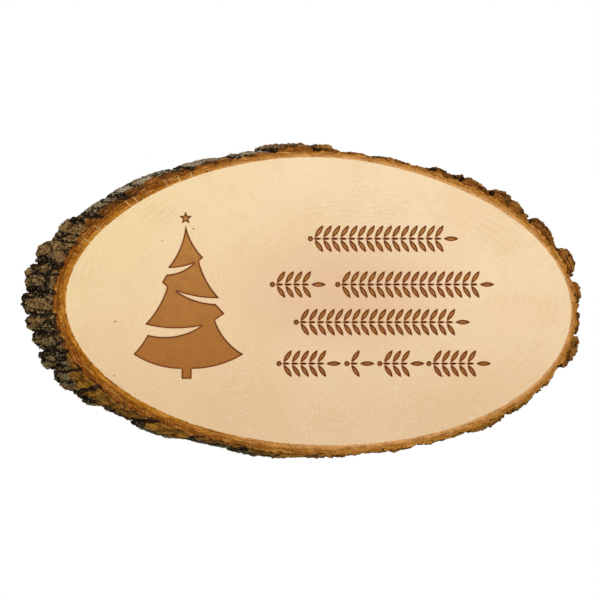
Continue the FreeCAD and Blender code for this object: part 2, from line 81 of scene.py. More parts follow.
# The grids that the bark's meshes start from
COLUMN_WIDTH = 0.22 * MM
ROW_WIDTH = 0.22 * MM
HIDDEN_ROW_WIDTH = 3 * MM
FEWEST_COLUMNS = 8
RING_COLUMN_WIDTH = 0.36 * MM
RING_FRONT_ROWS = 16
RING_SIDE_ROW_WIDTH = 0.6 * MM
RING_BACK_ROWS = 6
RING_HIDDEN_ROW_WIDTH = 4 * MM
SHARP_EDGE = math.radians(50)

# The bark's shape
SUNK_FRONT = 0.14 * MM  # how far a scale's front starts behind the sawn face
FRONT_GAP = 0.1 * MM  # and how far behind the face its roughened front stays
ROOT_DEPTH = 0.5 * MM  # how far a scale's hidden side reaches into the ring
EDGE_STARTS = 0.3 * MM  # a scale's vertices this far out from the ring are on its outer edge
LOWEST_SCALE = 0.8 * MM
THIN_SCALE = 2.6 * MM  # a scale lower than this is roughened less
WAVES = ((1.0, 0.5), (2.3, 0.3), (5.1, 0.2))  # a wandering line's waves, as (pace, size)
WAVE_SHIFT = 12.9898  # how far the next seed's waves are shifted
CRACK_WANDER = 1.1 * MM
CRACK_WAVE = 2.4 * MM
CRACK_RUN = 4 * MM  # how far a crack runs outwards before it turns back along the trunk
CRACK_CLOSES = 0.5 * MM  # how much each side of a crack closes up towards the ring
END_ROUNDING = 1.3 * MM
CREVICE_SHADE_WIDTH = 4.0 * MM  # how far from its ends a scale gets painted shade, at the widest crack
SHINGLE_LEAN = 0.7  # at the right each scale is this share higher at one end than at the other
UNEVENNESS = 0.2  # how much some scales stand above others, as a share of their height
# Scales that stand above or below their neighbours, and by how much
PROUD_SCALES = {
    "upper_right_1": 2.0 * MM,
    "upper_right_2": 1.2 * MM,
    "upper_right_4": -1.0 * MM,
    "top_5": -1.5 * MM,
    "upper_left_3": -1.2 * MM,
    "left_1": 1.0 * MM,
    "left_6": 1.2 * MM,
    "lower_left_3": -0.8 * MM,
    "lower_left_4": 1.3 * MM,
    "lower_left_5": -1.0 * MM,
    "bottom_2": -1.0 * MM,
    "lower_right_1": -0.8 * MM,
    "lower_right_3": -0.8 * MM,
    "lower_right_4": 0.8 * MM,
    "lower_right_5": 1.0 * MM,
}
LIP = 1.2 * MM  # how far the ring's ragged front edge reaches over the scales
LIP_DEPTH = 1.2 * MM
LIP_WAVE = 1.7 * MM
SAWN_DEPTH = 1.5 * MM  # how far back from a sawn face the ring's side is still free of painted shade
WEAR_DEPTH = 8 * MM  # how far back a scale takes to wear as much again as on its whole front
# How far out a scale's sawn front is still fresh, as (degrees, share of its height)
FRESH_REACH = (
    (0, 0.5), (75, 0.5), (98, 0.85), (112, 0.9), (122, 1.08), (140, 1.1), (150, 0.5), (160, 0.05),
    (197, 0.05), (206, 0.7), (216, 1.1), (240, 1.12), (262, 1.15), (282, 0.7), (310, 0.55),
    (360, 0.5),
)


# --- the outlines, read from the part -----------------------------------------------------

def node_points(name):
    """A CAD node's vertices as an array of (x, y, z)."""
    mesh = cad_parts[name].data
    flat = np.empty(len(mesh.vertices) * 3)
    mesh.vertices.foreach_get("co", flat)
    return flat.reshape(-1, 3)


def back_points(name):
    """The (x, z) of a node's vertices in the back plane."""
    points = node_points(name)
    return points[np.abs(points[:, 1]) < IN_PLANE][:, [0, 2]]


RING_BACK = back_points("inner_bark")
CENTRE = (RING_BACK.min(axis=0) + RING_BACK.max(axis=0)) / 2
HALF = (RING_BACK.max(axis=0) - RING_BACK.min(axis=0)) / 2


def angle_of(points):
    """The oval's own angle at each (x, z)."""
    offset = (points - CENTRE) / HALF
    return np.arctan2(offset[:, 1], offset[:, 0]) % FULL_TURN


class Loop:
    """A closed outline in the back plane, looked up by angle."""

    def __init__(self, points):
        order = np.argsort(angle_of(points))
        self.points = points[order]
        self.angles = angle_of(points)[order]

    def at(self, angle):
        """The (x, z) at an angle, on straight runs between the outline's points."""
        angle = np.asarray(angle) % FULL_TURN
        columns = [
            np.interp(angle, self.angles, self.points[:, axis], period=FULL_TURN) for axis in (0, 1)
        ]
        return np.stack(columns, axis=-1)

    def normal(self, angle, reach=0.03):
        """The outward direction, smoothed over a short reach of angle."""
        along = self.at(np.asarray(angle) + reach) - self.at(np.asarray(angle) - reach)
        across = np.stack([along[..., 1], -along[..., 0]], axis=-1)
        return across / np.linalg.norm(across, axis=-1, keepdims=True)


def wood_outline():
    """The slice's outline on its back, without the hanger's recess."""
    points = back_points("wood_slice")
    reach = np.linalg.norm((points - CENTRE) / HALF, axis=1)
    return Loop(points[reach > OUTLINE_REACH])


def bark_outline(wood):
    """The ring's outer outline: its back vertices that do not lie on the wood's outline."""
    gap = np.linalg.norm(RING_BACK - wood.at(angle_of(RING_BACK)), axis=1)
    return Loop(RING_BACK[gap > NARROWEST_RING])


def trunk_step():
    """How far the outline moves along X for each metre of depth."""
    points = node_points("inner_bark")
    front = points[points[:, 1] < -THICKNESS + IN_PLANE]
    back = points[np.abs(points[:, 1]) < IN_PLANE]
    return (front[:, 0].max() - back[:, 0].max()) / THICKNESS


WOOD = wood_outline()
RING = bark_outline(WOOD)
TRUNK_STEP = trunk_step()
FACE_CENTRE_X = (WOOD.points[:, 0].min() + WOOD.points[:, 0].max()) / 2 + TRUNK_STEP * THICKNESS

FINE_ANGLES = np.linspace(0, FULL_TURN, 4001)
FINE_ARC = np.concatenate(
    [[0], np.cumsum(np.linalg.norm(np.diff(RING.at(FINE_ANGLES), axis=0), axis=1))]
)
GIRTH = FINE_ARC[-1]


def arc_at(angle):
    """Distance round the ring from angle 0. Runs on past a full turn."""
    turns, rest = np.divmod(angle, FULL_TURN)
    return turns * GIRTH + np.interp(rest, FINE_ANGLES, FINE_ARC)


def angle_at(arc):
    """The angle at a distance round the ring."""
    turns, rest = np.divmod(arc, GIRTH)
    return turns * FULL_TURN + np.interp(rest, FINE_ARC, FINE_ANGLES)


def in_part(plan, depth):
    """Back-plane places carried forwards along the trunk to a depth."""
    return np.stack([plan[..., 0] + TRUNK_STEP * depth, -depth, plan[..., 1]], axis=-1)


# --- node trees ---------------------------------------------------------------------------

class Builder:
    """Adds nodes to a tree. An input is a number, a tuple, or the socket that feeds it."""

    def __init__(self, tree):
        self.tree = tree

    def add(self, kind, inputs=None, output=0, **settings):
        node = self.tree.nodes.new(kind)
        for name, setting in settings.items():
            setattr(node, name, setting)
        for key, feed in (inputs or {}).items():
            socket = node.inputs[key]
            if isinstance(feed, bpy.types.NodeSocket):
                self.tree.links.new(feed, socket)
            else:
                socket.default_value = feed
        return node.outputs[output]

    def math(self, operation, first, second=0.0):
        return self.add("ShaderNodeMath", {0: first, 1: second}, operation=operation)

    def plus(self, first, second):
        return self.math("ADD", first, second)

    def minus(self, first, second):
        return self.math("SUBTRACT", first, second)

    def times(self, first, *others):
        for other in others:
            first = self.math("MULTIPLY", first, other)
        return first

    def swing(self, share, size):
        """A share from 0 to 1 turned into a number that swings by the size about 0."""
        return self.times(self.minus(share, 0.5), size)

    def vector(self, operation, first, second=(0.0, 0.0, 0.0), output=0):
        return self.add(
            "ShaderNodeVectorMath", {0: first, 1: second}, output=output, operation=operation
        )

    def scale(self, first, factor):
        return self.add("ShaderNodeVectorMath", {0: first, "Scale": factor}, operation="SCALE")

    def ramp(self, value, low, high, to_low=0.0, to_high=1.0, smooth=True):
        """A number carried from one range to another, held at its ends."""
        feeds = {0: value, 1: low, 2: high, 3: to_low, 4: to_high}
        kind = "SMOOTHSTEP" if smooth else "LINEAR"
        return self.add("ShaderNodeMapRange", feeds, interpolation_type=kind)

    def noise(self, place, scale, detail=2.0, roughness=0.5, output=0):
        feeds = {"Vector": place, "Scale": scale, "Detail": detail, "Roughness": roughness}
        return self.add("ShaderNodeTexNoise", feeds, output=output)

    def cells(self, place, scale, feature="F1", output="Distance"):
        feeds = {"Vector": place, "Scale": scale}
        return self.add("ShaderNodeTexVoronoi", feeds, output=output, feature=feature)

    def split(self, vector):
        node = self.tree.nodes.new("ShaderNodeSeparateXYZ")
        self.tree.links.new(vector, node.inputs[0])
        return node.outputs[0], node.outputs[1], node.outputs[2]

    def join(self, x, y, z):
        return self.add("ShaderNodeCombineXYZ", {0: x, 1: y, 2: z})

    def colour(self, share, first, second):
        """Two colours mixed: the first where the share is 0 and the second where it is 1."""
        node = self.tree.nodes.new("ShaderNodeMix")
        node.data_type = "RGBA"
        for index, feed in ((0, share), (6, first), (7, second)):
            if isinstance(feed, bpy.types.NodeSocket):
                self.tree.links.new(feed, node.inputs[index])
            else:
                node.inputs[index].default_value = feed
        return node.outputs[2]

    def attribute(self, name, output="Fac"):
        return self.add("ShaderNodeAttribute", output=output, attribute_name=name)

    def closeness(self, distance, inside=False):
        """Less than 1 beside a wall or, seen from inside, beside an edge, within a distance."""
        feeds = {"Distance": distance}
        settings = {"samples": EDGE_SAMPLES, "inside": inside}
        return self.add("ShaderNodeAmbientOcclusion", feeds, output="AO", **settings)


def shade(red, green, blue):
    """A colour as seen on screen, 0 to 255, in the linear values a shader takes."""
    linear = [
        c / 12.92 if c <= 0.04045 else ((c + 0.055) / 1.055) ** 2.4
        for c in (red / 255, green / 255, blue / 255)
    ]
    return (*linear, 1.0)


# --- the "Rough bark" tree ----------------------------------------------------------------

# The tree's named inputs, with what they start at. Crack Width is a share of a plate.
BARK_INPUTS = {
    "Plate Size": 9.0 * MM,
    "Plate Relief": 0.8 * MM,
    "Crack Width": 0.08,
    "Crack Depth": 1.5 * MM,
    "Crumb Size": 2.2 * MM,
    "Crumb Relief": 0.85 * MM,
    "Grain Relief": 0.4 * MM,
    "Front": THICKNESS,
    "Seed": 3.0,
}


def named_vector(build, name):
    """A vector that the sleeve carries at each point."""
    return build.add(
        "GeometryNodeInputNamedAttribute", {"Name": name}, data_type="FLOAT_VECTOR", output=0
    )


def cracks_and_plates(build, given, place, bent):
    """How far the bark rises in plates and sinks in the cracks between them."""
    plate_scale = build.math("DIVIDE", 1.0, given["Plate Size"])
    edge = build.cells(bent, plate_scale, "DISTANCE_TO_EDGE")
    fine_edge = build.cells(bent, build.times(plate_scale, 2.6), "DISTANCE_TO_EDGE")
    opening = build.ramp(build.noise(place, 110.0, 2.0), 0.35, 0.6, 0.25, 1.0)
    width = build.times(given["Crack Width"], opening)
    crack = build.minus(build.ramp(edge, 0.0, width), 1.0)
    fine_crack = build.minus(build.ramp(fine_edge, 0.0, build.times(width, 0.9)), 1.0)
    crack = build.plus(crack, build.times(fine_crack, 0.5))
    crack = build.times(crack, opening, given["Crack Depth"])
    level = build.split(build.cells(bent, plate_scale, output="Color"))[0]
    dome = build.plus(build.ramp(edge, 0.0, 0.14), build.times(level, 1.8))
    return build.plus(crack, build.times(build.minus(dome, 1.6), given["Plate Relief"]))


def crumbs_and_grain(build, given, bent):
    """How far the bark's crumbs and its fine grain rise and sink."""
    crumb_scale = build.math("DIVIDE", 1.0, given["Crumb Size"])
    crumb = build.math("ABSOLUTE", build.minus(build.noise(bent, crumb_scale, 3.0, 0.65), 0.5))
    crumb = build.times(build.minus(crumb, 0.1), 8.0, given["Crumb Relief"])
    grain = build.noise(bent, 1100.0, 3.0, 0.65)
    grain = build.swing(grain, build.times(given["Grain Relief"], 3.0))
    return build.plus(crumb, grain)


def bark_tree_sockets(tree):
    """The tree's inputs and output. Gives back the sockets to read the inputs from."""
    face = tree.interface
    face.new_socket("Geometry", in_out="INPUT", socket_type="NodeSocketGeometry")
    for name, size in BARK_INPUTS.items():
        socket = face.new_socket(name, in_out="INPUT", socket_type="NodeSocketFloat")
        socket.default_value = size
    face.new_socket("Material", in_out="INPUT", socket_type="NodeSocketMaterial")
    face.new_socket("Geometry", in_out="OUTPUT", socket_type="NodeSocketGeometry")
    return tree.nodes.new("NodeGroupInput").outputs


def rough_bark_tree():
    """Moves each point along its own way out by plates, cracks, crumbs and grain.

    It reads "trunk" (arc, depth, reach) and "way_out", whose length says how much a point gives,
    and writes "relief", which is 0 at the bottom of a crack and 1 on top of a plate. Nothing
    passes the sawn front or the back.
    """
    tree = bpy.data.node_groups.new("Rough bark", "GeometryNodeTree")
    given = bark_tree_sockets(tree)
    build = Builder(tree)

    arc, depth, reach = build.split(named_vector(build, "trunk"))
    seed = build.join(given["Seed"], 0.0, 0.0)
    place = build.vector("ADD", build.join(arc, build.times(depth, 0.7), reach), seed)
    wobble = build.noise(place, 170.0, 4.0, 0.6, output=1)
    bent = build.vector("ADD", place, build.scale(wobble, 6.0 * MM))
    coarse = cracks_and_plates(build, given, place, bent)
    rise = build.plus(coarse, crumbs_and_grain(build, given, bent))
    offset = build.scale(named_vector(build, "way_out"), rise)
    moved = build.add(
        "GeometryNodeSetPosition", {"Geometry": given["Geometry"], "Offset": offset}
    )

    lowest = build.times(given["Crack Depth"], -1.3)
    relief = build.ramp(rise, lowest, given["Crumb Relief"])
    noted = build.add(
        "GeometryNodeStoreNamedAttribute",
        {"Geometry": moved, "Name": "relief", "Value": relief},
        data_type="FLOAT",
        domain="POINT",
    )
    x, y, z = build.split(build.add("GeometryNodeInputPosition"))
    front = build.times(given["Front"], -1.0)
    sawn = build.join(x, build.math("MINIMUM", build.math("MAXIMUM", y, front), 0.0), z)
    trimmed = build.add("GeometryNodeSetPosition", {"Geometry": noted, "Position": sawn})
    whole = build.add("GeometryNodeRealizeInstances", {"Geometry": trimmed})
    painted = build.add(
        "GeometryNodeSetMaterial", {"Geometry": whole, "Material": given["Material"]}
    )
    out = tree.nodes.new("NodeGroupOutput")
    tree.links.new(painted, out.inputs["Geometry"])
    return tree


def roughened(name, mesh, tree, material, **sizes):
    """Runs the tree on a sleeve with some inputs changed, and keeps the result as a plain mesh."""
    sleeve = bpy.data.objects.new(name + "_sleeve", mesh)
    bpy.context.scene.collection.objects.link(sleeve)
    modifier = sleeve.modifiers.new("Rough bark", "NODES")
    modifier.node_group = tree
    wanted = {**{key.replace("_", " "): size for key, size in sizes.items()}, "Material": material}
    for item in tree.interface.items_tree:
        if item.in_out == "INPUT" and item.name in wanted:
            modifier[item.identifier] = wanted[item.name]
    graph = bpy.context.evaluated_depsgraph_get()
    result = bpy.data.meshes.new_from_object(sleeve.evaluated_get(graph))
    bpy.data.objects.remove(sleeve)
    result.name = name
    result.set_sharp_from_angle(angle=SHARP_EDGE)
    piece = bpy.data.objects.new(name, result)
    bpy.context.scene.collection.objects.link(piece)
    return piece


# --- sleeves ------------------------------------------------------------------------------

def sleeve_mesh(name, points, trunk, way_out, closed, **numbers):
    """A grid of columns (along the arc) by rows (round the section), as a closed mesh.

    The numbers, by name, become attributes with one number for each point.
    """
    columns, rows = points.shape[:2]
    index = np.arange(columns * rows).reshape(columns, rows)
    after = np.roll(index, -1, axis=0) if closed else index[1:]
    before = index if closed else index[:-1]
    quads = np.stack(
        [before, np.roll(before, -1, axis=1), np.roll(after, -1, axis=1), after], axis=-1
    ).reshape(-1, 4)
    faces = quads.tolist()
    if not closed:
        faces += [index[0][::-1].tolist(), index[-1].tolist()]
    mesh = bpy.data.meshes.new(name)
    mesh.from_pydata(points.reshape(-1, 3).tolist(), [], faces)
    for attribute, values in (("trunk", trunk), ("way_out", way_out)):
        layer = mesh.attributes.new(attribute, "FLOAT_VECTOR", "POINT")
        layer.data.foreach_set("vector", values.reshape(-1).astype(np.float32))
    for attribute, values in numbers.items():
        layer = mesh.attributes.new(attribute, "FLOAT", "POINT")
        layer.data.foreach_set("value", values.reshape(-1).astype(np.float32))
    mesh.shade_smooth()
    return mesh


def spread(start, end, width):
    """Even steps from start to end, about width apart, without the end itself."""
    count = max(2, round(abs(end - start) / width))
    return np.linspace(start, end, count, endpoint=False)


def wave(value, seed):
    """A smooth wandering number from -1 to 1."""
    total = np.zeros_like(value)
    for step, size in WAVES:
        total = total + size * np.sin(value * step + seed * WAVE_SHIFT * step)
    return total


class Scale:
    """One scale of outer bark, read from its CAD node."""

    def __init__(self, node):
        points = node_points(node)
        back = back_points(node)
        angles = angle_of(back)
        middle = math.atan2(np.sin(angles).mean(), np.cos(angles).mean())
        angles = (angles - middle + math.pi) % FULL_TURN - math.pi + middle
        height = np.einsum("ij,ij->i", back - RING.at(angles), RING.normal(angles))
        outer = height > EDGE_STARTS
        order = np.argsort(angles[outer])
        self.node = node
        self.first = angles.min()
        self.last = angles.max()
        self.middle = middle
        self.edge_angles = angles[outer][order]
        self.edge_heights = height[outer][order]
        self.front = -points[:, 1].min()

    def height(self, angle):
        """How far its outer edge stands out from the ring."""
        return np.interp(angle, self.edge_angles, self.edge_heights)


def visible_side(angle):
    """1 where the slanting rim faces the front, at the left, and 0 where it is undercut."""
    return 0.5 - 0.5 * math.cos(angle)


def front_slope(scale):
    """How far back a scale's broken front leans, from the ring out to its edge."""
    setback = (THICKNESS - scale.front) / MM
    return (0.8 + 0.7 * setback**2 + 1.6 * visible_side(scale.middle)) * MM


def section_rows(scale):
    """A scale's section: rows of (depth, share of the height, wear, how much it gives).

    Wear grows from the ring outwards and then backwards. A share of None is the hidden side,
    sunk in the ring.
    """
    slope = front_slope(scale)
    bend = 0.8 + 0.1 * slope / MM
    full = scale.edge_heights.mean()
    start = THICKNESS - SUNK_FRONT - slope
    rows = []
    for share in spread(0.0, 1.0, ROW_WIDTH / math.hypot(full, slope)):
        rows.append((start + slope * (1 - share**1.2), share**bend, share, 0.3 + 0.7 * share))
    for depth in spread(start, 0.0, ROW_WIDTH):
        rows.append((depth, 1.0, 1.0 + (start - depth) / WEAR_DEPTH, 1.0))
    for share in spread(1.0, 0.0, ROW_WIDTH * 2 / full):
        rows.append((0.0, share, share, share * 0.6))
    for depth in spread(0.0, THICKNESS - SUNK_FRONT, HIDDEN_ROW_WIDTH):
        rows.append((depth, None, 0.0, 0.0))
    return rows


def crack_line(arc, depth, share, seed):
    """One side of a crack: it wanders as it runs out from the ring and back along the trunk."""
    run = np.where(share < 1, share * CRACK_RUN, CRACK_RUN + THICKNESS - depth)
    return arc + CRACK_WANDER * wave(run / CRACK_WAVE, seed)


def crack_shade_reach(crack, angle):
    """How far a crack's painted shade spreads, from 0.1 to 1. The widest are at the left."""
    return (0.65 + 0.35 * math.sin(9 * crack + 1)) * (0.3 + 0.7 * visible_side(angle))


def end_share(seed):
    """How high a scale's end stands, as a share of its height."""
    return 0.58 + 0.3 * math.sin(7 * seed)


def end_shoulder(along, from_end, crack_before, crack_after):
    """The share of its height that a scale has near its rounded ends."""
    end_height = np.where(along < 0.5, end_share(crack_before), end_share(crack_after + 0.3))
    rounding = np.clip(from_end / END_ROUNDING, 0, 1)
    return end_height + (1 - end_height) * np.sqrt(1 - (1 - rounding) ** 2)


def full_height(scale, number, angle, along):
    """How high a scale stands along its length, before its ends are rounded."""
    lean = SHINGLE_LEAN * (1 - 1.4 * visible_side(scale.middle)) * (along - 0.5)
    stature = 1.05 + UNEVENNESS * math.sin(5 * number + 1)
    undercut = TRUNK_STEP * front_slope(scale) * np.clip(RING.normal(angle)[..., 0], 0, 1)
    proud = PROUD_SCALES.get(scale.node.removeprefix(SCALE_PREFIX), 0.0)
    height = scale.height(angle) * (stature + lean) + undercut + proud
    return np.maximum(height, LOWEST_SCALE)


def roughening(scale, angle, fresh, give):
    """How much the tree may move each point of a scale: less where it is thin or sawn."""
    thin = np.clip(scale.height(angle) / THIN_SCALE, 0.35, 1.0)
    craggy = 0.68 + 0.4 * visible_side(scale.middle)
    sawn = 1 - 0.65 * np.clip(fresh * 3, 0, 1)
    return give * thin * craggy * sawn


def scale_sleeve(scale, crack_before, crack_after):
    """The smooth start of a scale. Its ends wander with the cracks at either side of it."""
    rows = section_rows(scale)
    depth, share, wear, give = (np.array(column, dtype=float) for column in zip(*rows))
    hidden = np.isnan(share)
    share = np.where(hidden, 0.0, share)
    closes = CRACK_CLOSES * (1 - share)
    start = crack_line(arc_at(scale.first), depth, share, crack_before) - closes
    end = crack_line(arc_at(scale.last), depth, share, crack_after) + closes
    columns = max(FEWEST_COLUMNS, round((end - start).mean() / COLUMN_WIDTH))
    along = np.linspace(0, 1, columns)[:, None]
    arc = start * (1 - along) + end * along
    from_end = np.minimum(along, 1 - along) * (end - start)
    angle = angle_at(arc)
    normal = RING.normal(angle)
    depths = np.broadcast_to(depth, arc.shape)

    height = full_height(scale, crack_before, angle, along)
    height = height * end_shoulder(along, from_end, crack_before, crack_after) * share
    height = np.where(hidden, -ROOT_DEPTH, height)
    points = in_part(RING.at(angle) + normal * height[..., None], depths)
    trunk = np.stack([arc, depths, height], axis=-1)

    fresh = np.interp(np.degrees(angle) % 360, *zip(*FRESH_REACH)) - wear
    on_front = (wear < 1) & ~hidden & (depth > 0)
    turn = np.where(on_front, 1.0 - share, 0.0)[None, :, None]
    outwards = np.stack([normal[..., 0], np.zeros_like(arc), normal[..., 1]], axis=-1)
    forwards = np.broadcast_to([0.0, -1.0, 0.0], outwards.shape)
    way_out = outwards * (1 - turn) + forwards * turn
    way_out = way_out * roughening(scale, angle, fresh, give)[..., None]

    # A scale's ends get painted shade, reaching furthest where the cracks at either side are
    # widest.
    widths = crack_shade_reach(crack_before, scale.first), crack_shade_reach(crack_after, scale.last)
    shade_width = CREVICE_SHADE_WIDTH * np.where(along < 0.5, *widths)
    numbers = {"fresh": fresh, "crevice_shade": np.clip(1 - from_end / shade_width, 0, 1)}
    return sleeve_mesh(scale.node, points, trunk, way_out, closed=False, **numbers)


def crack_marks(arc, share, cracks):
    """How much painted shade each place on the ring gets from a crack: 1 right at a crack's root.
    """
    marks = np.zeros(np.broadcast_shapes(arc.shape, share.shape))
    for place, width in cracks:
        away = np.abs((arc - place + GIRTH / 2) % GIRTH - GIRTH / 2)
        marks = np.maximum(marks, 1 - away / (CREVICE_SHADE_WIDTH * width))
    return marks * np.clip(2.5 * share - 1.5, 0, 1)


def ring_rows():
    """The ring's section: rows of (depth, share of the way across it, how much it gives)."""
    rows = []
    for share in spread(0.0, 1.0, 1 / RING_FRONT_ROWS):
        rows.append((THICKNESS, share, 0.0))
    for depth in spread(THICKNESS, 0.0, RING_SIDE_ROW_WIDTH):
        rows.append((depth, 1.0, 0.35))
    for share in spread(1.0, 0.0, 1 / RING_BACK_ROWS):
        rows.append((0.0, share, 0.0))
    for depth in spread(0.0, THICKNESS, RING_HIDDEN_ROW_WIDTH):
        rows.append((depth, 0.0, 0.0))
    return rows


def ring_sleeve(cracks):
    """The smooth start of the inner bark: a closed ring with the sawn front and back."""
    arc = np.linspace(0, GIRTH, round(GIRTH / RING_COLUMN_WIDTH), endpoint=False)[:, None]
    depth, share, give = (np.array(column)[None, :] for column in zip(*ring_rows()))
    angle = angle_at(arc)
    inner, outer = WOOD.at(angle), RING.at(angle)
    near_front = np.clip(1 - (THICKNESS - depth) / LIP_DEPTH, 0, 1)
    lip = LIP * (0.5 + 0.5 * wave(arc / LIP_WAVE, 5.0)) * near_front * share**4
    plan = inner + (outer - inner) * share[..., None] + RING.normal(angle) * lip[..., None]

    grid = plan.shape[:2]
    arcs, depth, across, give = (
        np.broadcast_to(values, grid) for values in (arc, depth, share, give)
    )
    normal = np.broadcast_to(RING.normal(angle), plan.shape)
    way_out = np.stack([normal[..., 0], np.zeros(grid), normal[..., 1]], axis=-1)
    way_out = way_out * give[..., None]
    width = np.linalg.norm(outer - inner, axis=-1)
    trunk = np.stack([arcs, depth, width * across], axis=-1)
    from_sawn = np.minimum(THICKNESS - depth, depth)
    # Near the sawn faces the ring's side has no painted shade; further back it gets more.
    fresh = np.where(across == 1.0, 1.0 - from_sawn / SAWN_DEPTH, 1.0).clip(0, 1)
    numbers = {"fresh": fresh, "across": across, "crevice_shade": crack_marks(arc, share, cracks)}
    points = in_part(plan, depth)
    return sleeve_mesh("inner_bark", points, trunk, way_out, closed=True, **numbers)


# --- materials ----------------------------------------------------------------------------

def new_material(name):
    """A new material, the builder for its nodes, and the place on the object."""
    material = bpy.data.materials.new(name)
    material.use_nodes = True
    tree = material.node_tree
    tree.nodes.clear()
    build = Builder(tree)
    place = build.add("ShaderNodeTexCoord", output="Object")
    return material, build, place


def finish_material(build, colour, roughness, height, distance, **fixed):
    """Joins a colour, a roughness and a bump height to the shader."""
    feeds = {"Height": height, "Distance": distance, "Strength": 1.0}
    bump = build.add("ShaderNodeBump", feeds)
    shader = build.tree.nodes.new("ShaderNodeBsdfPrincipled")
    for socket, setting in fixed.items():
        shader.inputs[socket.replace("_", " ")].default_value = setting
    for socket, feed in (("Base Color", colour), ("Roughness", roughness), ("Normal", bump)):
        if isinstance(feed, bpy.types.NodeSocket):
            build.tree.links.new(feed, shader.inputs[socket])
        else:
            shader.inputs[socket].default_value = feed
    out = build.tree.nodes.new("ShaderNodeOutputMaterial")
    build.tree.links.new(shader.outputs[0], out.inputs["Surface"])
    return shader


# The middle of the growth rings, to the right of the face's centre and above it
PITH = (CENTRE[0] + 0.5 * TRUNK_STEP * THICKNESS + 24 * MM, CENTRE[1] + 4 * MM)
RING_STRETCH = 1.75  # growth rings are ovals, because the trunk was sawn at a slant
RING_SPACING = 2.6 * MM
SPECK_CELLS = 120.0
SCORCH_WIDTH = 0.6 * MM
WALL_SHADE_WIDTH = 1.0 * MM
EDGE_SAMPLES = 8
ENGRAVED_SHARE = 0.92  # the engraving lies within this share of the way out to the bark
RAY_MARKS = math.radians(140)  # the turn at which the bast's pale ray marks are thickest
RAY_MARKS_END = math.radians(30)  # how far round from there they end
RAY_MARKS_FADE = math.radians(14)  # and how far round they start to fade


def growth_rings(build, place, x, z):
    """A point's distance from the pith, its turn round it, and how dark its ring is."""
    from_pith_x = build.math("DIVIDE", build.minus(x, PITH[0]), RING_STRETCH)
    from_pith_z = build.minus(z, PITH[1])
    around = build.math("ARCTAN2", from_pith_z, from_pith_x)
    waver = build.times(build.noise(place, 22.0, 3.0), 7 * MM)
    reach = build.vector("LENGTH", build.join(from_pith_x, 0.0, from_pith_z), output="Value")
    reach = build.plus(reach, waver)
    year = build.math("FRACT", build.math("DIVIDE", reach, RING_SPACING))
    faint = build.ramp(build.noise(place, 30.0, 2.0), 0.4, 0.7, 0.03, 0.22)
    return reach, around, build.times(build.math("POWER", year, 5.0), faint)


def face_tint(build, place, x, z, reach):
    """The face's own colour: cream at the left, and deeper round the heart and lower down."""
    leftness = build.ramp(x, WOOD_LOW.x, CENTRE[0] + 40 * MM, 1.0, 0.0)
    colour = build.colour(leftness, shade(243, 216, 176), shade(240, 213, 160))
    broad = build.ramp(build.noise(place, 9.0, 2.0), 0.4, 0.68)
    colour = build.colour(broad, colour, shade(238, 205, 162))
    heart = build.ramp(reach, 50 * MM, 8 * MM, 0.0, 0.85)
    colour = build.colour(heart, colour, shade(226, 187, 149))
    lower = build.ramp(z, CENTRE[1] + 10 * MM, CENTRE[1] - 70 * MM, 0.0, 0.7)
    colour = build.colour(lower, colour, shade(224, 188, 146))
    cloud = build.ramp(build.noise(place, 60.0, 4.0, 0.6), 0.45, 0.8, 0.0, 0.35)
    return build.colour(cloud, colour, shade(226, 190, 142))


def fine_marks(build, place, reach, around):
    """Three fine patterns: flecks along the rings, flecks along the rays, sanding scratches."""
    ring_place = build.join(build.times(around, 16.0), build.times(reach, 1900.0), 0.0)
    ray_place = build.join(build.times(around, 170.0), build.times(reach, 260.0), 7.0)
    turned = build.add("ShaderNodeMapping", {"Vector": place, "Rotation": (0.0, 0.75, 0.0)})
    scratch_place = build.vector("MULTIPLY", turned, (80.0, 80.0, 2400.0))
    ring_fleck = build.noise(ring_place, 1.0, 2.0)
    ray_fleck = build.noise(ray_place, 1.0, 2.0)
    return ring_fleck, ray_fleck, build.noise(scratch_place, 1.0, 3.0, 0.6)


def marked(build, place, colour, marks):
    """The colour with pale and dark strokes from each pattern, stronger in some places."""
    for seed, mark in enumerate(marks):
        where = build.noise(build.vector("ADD", place, (seed * 0.37, 0.0, 0.0)), 45.0, 3.0)
        strength = build.ramp(where, 0.42, 0.65, 0.1, 0.4)
        pale = build.times(build.ramp(mark, 0.57, 0.74), strength)
        dark = build.times(build.ramp(mark, 0.42, 0.25), strength)
        colour = build.colour(pale, colour, shade(254, 240, 212))
        colour = build.colour(dark, colour, shade(204, 164, 112))
    return colour


def specked(build, place, colour):
    """The colour with small brown specks, of which only some cells have one."""
    ragged = build.scale(build.noise(place, 300.0, 2.0, output=1), 0.6 * MM)
    speck_place = build.vector("ADD", place, ragged)
    chance = build.split(build.cells(speck_place, SPECK_CELLS, output="Color"))[0]
    size = build.ramp(chance, 0.5, 1.0, 0.0, 0.075, smooth=False)
    dots = build.math("LESS_THAN", build.cells(speck_place, SPECK_CELLS), size)
    return build.colour(build.times(dots, 0.75), colour, shade(120, 80, 45))


def scorched(build, x, z, colour):
    """The colour with a thin scorched line round the engraving, but none at the bark."""
    edge = build.closeness(SCORCH_WIDTH, inside=True)
    half_width, half_height = WOOD_HIGH.x - FACE_CENTRE_X, WOOD_HIGH.z - CENTRE[1]
    across = build.math("DIVIDE", build.minus(x, FACE_CENTRE_X), half_width)
    upwards = build.math("DIVIDE", build.minus(z, CENTRE[1]), half_height)
    from_centre = build.vector("LENGTH", build.join(across, upwards, 0.0), output="Value")
    off_the_bark = build.math("LESS_THAN", from_centre, ENGRAVED_SHARE)
    scorch = build.times(build.ramp(edge, 0.5, 0.92, 0.85, 0.0), off_the_bark)
    return build.colour(scorch, colour, shade(166, 80, 20))


